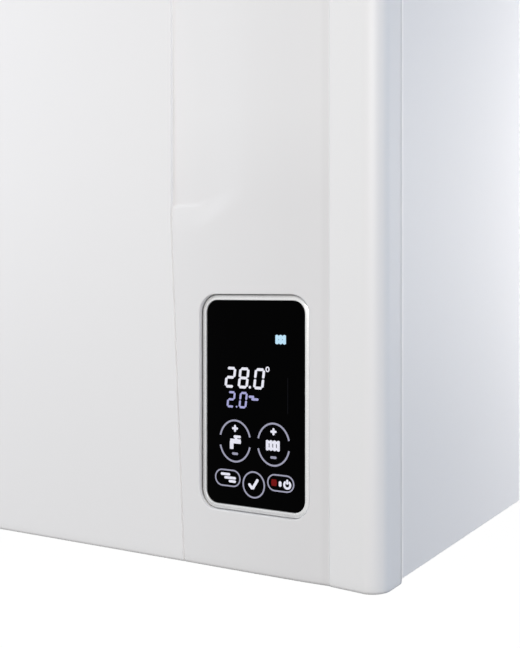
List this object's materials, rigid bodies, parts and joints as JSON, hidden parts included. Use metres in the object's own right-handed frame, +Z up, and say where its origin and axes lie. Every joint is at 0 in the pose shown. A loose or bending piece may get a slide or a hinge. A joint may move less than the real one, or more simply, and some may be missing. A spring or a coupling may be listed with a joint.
{
  "type": "combi boiler",
  "caption": "White wall-hung gas combi boiler: sculpted front cover with a touch display low on the right, burner, exchanger, fan, pump and valves inside.",
  "frame": {"origin": "middle of the wall bracket's back face, on the wall", "axes": "+X to the right seen from the front, +Y into the wall, +Z up"},
  "size_m": [0.41, 0.29, 0.786],
  "materials": {
    "white_paint": "semi-gloss white baked enamel",
    "zinc_sheet": "galvanised sheet, faint spangle",
    "stainless": "brushed stainless steel",
    "cast_aluminium": "die-cast aluminium, fine grain",
    "copper": "drawn copper, slightly tarnished",
    "brass": "machined brass",
    "grey_plastic": "grey moulded plastic",
    "black_plastic": "black moulded plastic",
    "pale_plastic": "pale moulded plastic",
    "board": "circuit board with solder mask",
    "silver_trim": "silver painted plastic trim",
    "display_glass": "black back-printed glass with lit symbols",
    "red_paint": "red enamel",
    "red_plastic": "red moulded plastic",
    "blue_plastic": "blue moulded plastic",
    "rubber": "black rubber",
    "silicone": "red-brown silicone"
  },
  "bodies": {
    "chassis": {"air_intake_pipe": "grey_plastic", "air_vent": "brass", "back_panel": "zinc_sheet", "bottom_plate": "zinc_sheet", "burner_door": "cast_aluminium", "burner_tube": "stainless", "cold_water_pipe": "copper", "cold_water_tail": "brass", "condensate_hose": "rubber", "condensate_trap": "pale_plastic", "diverter_body": "brass", "diverter_motor": "black_plastic", "door_gasket": "silicone", "exchanger_coil": "stainless", "exchanger_housing": "stainless", "expansion_hose": "rubber", "expansion_vessel": "red_paint", "fan_housing": "cast_aluminium", "fan_motor": "black_plastic", "flow_pipe": "copper", "flow_sensor": "brass", "flue_adapter": "cast_aluminium", "flue_duct": "pale_plastic", "flue_seal": "rubber", "gas_feed_pipe": "copper", "gas_pipe": "copper", "gas_valve": "cast_aluminium", "heating_flow_tail": "brass", "heating_return_tail": "brass", "hinge_pin_left": "stainless", "hinge_pin_right": "stainless", "hot_water_pipe": "copper", "plate_heat_exchanger": "stainless", "pump_body": "grey_plastic", "pump_motor": "black_plastic", "return_pipe": "copper", "safety_valve": "brass", "side_panel_left": "white_paint", "side_panel_right": "white_paint", "spark_electrode": "pale_plastic", "top_panel": "zinc_sheet", "venturi": "cast_aluminium", "wall_bracket": "zinc_sheet"},
    "cover": {"front_cover": "white_paint", "cover_screw_left": "zinc_sheet", "cover_screw_right": "zinc_sheet"},
    "control": {"control_box": "grey_plastic", "control_box_lid": "grey_plastic", "display_bezel": "silver_trim", "touch_glass": "display_glass", "lcd_module": "black_plastic", "display_board": "board", "main_board": "board"},
    "fan_wheel": {"fan_impeller": "black_plastic"},
    "pump_wheel": {"pump_impeller": "pale_plastic"},
    "flow_wheel": {"flow_turbine": "blue_plastic"},
    "diverter_rod": {"diverter_spindle": "stainless"},
    "filling_tap": {"filling_tap_knob": "blue_plastic"},
    "relief_knob": {"safety_valve_knob": "red_plastic"},
    "vent_cap": {"air_vent_cap": "black_plastic"}
  },
  "joints": [
    {"name": "cover_slide", "type": "slide", "parent": "chassis", "child": "cover", "axis": [0, -1, 0], "range_m": [0, 0.35]},
    {"name": "control_box_tilt", "type": "hinge", "parent": "chassis", "child": "control", "pos_m": [0, -0.2529, -0.629], "axis": [1, 0, 0], "range_deg": [0, 64.5]},
    {"name": "fan_spin", "type": "hinge", "parent": "chassis", "child": "fan_wheel", "pos_m": [-0.118, -0.2276, -0.149], "axis": [0, 1, 0], "continuous": true},
    {"name": "pump_spin", "type": "hinge", "parent": "chassis", "child": "pump_wheel", "pos_m": [0.13, -0.11, -0.54], "axis": [0, 1, 0], "continuous": true},
    {"name": "flow_wheel_spin", "type": "hinge", "parent": "chassis", "child": "flow_wheel", "pos_m": [0.065, -0.11, -0.608], "axis": [0, 0, 1], "continuous": true},
    {"name": "diverter_shift", "type": "slide", "parent": "chassis", "child": "diverter_rod", "axis": [0, 1, 0], "range_m": [0, 0.004]},
    {"name": "filling_tap_turn", "type": "hinge", "parent": "chassis", "child": "filling_tap", "pos_m": [0.065, -0.14, -0.66], "axis": [0, 0, 1], "range_deg": [0, 90]},
    {"name": "relief_knob_turn", "type": "hinge", "parent": "chassis", "child": "relief_knob", "pos_m": [0.118, -0.17, -0.608], "axis": [0, -1, 0], "range_deg": [0, 90]},
    {"name": "vent_cap_turn", "type": "hinge", "parent": "chassis", "child": "vent_cap", "pos_m": [0.168, -0.11, -0.454], "axis": [0, 0, 1], "range_deg": [0, 360]}
  ],
  "couplings": [
    {"joint": "control_box_tilt", "follows": "cover_slide", "rad_per_m": 3.2}
  ]
}
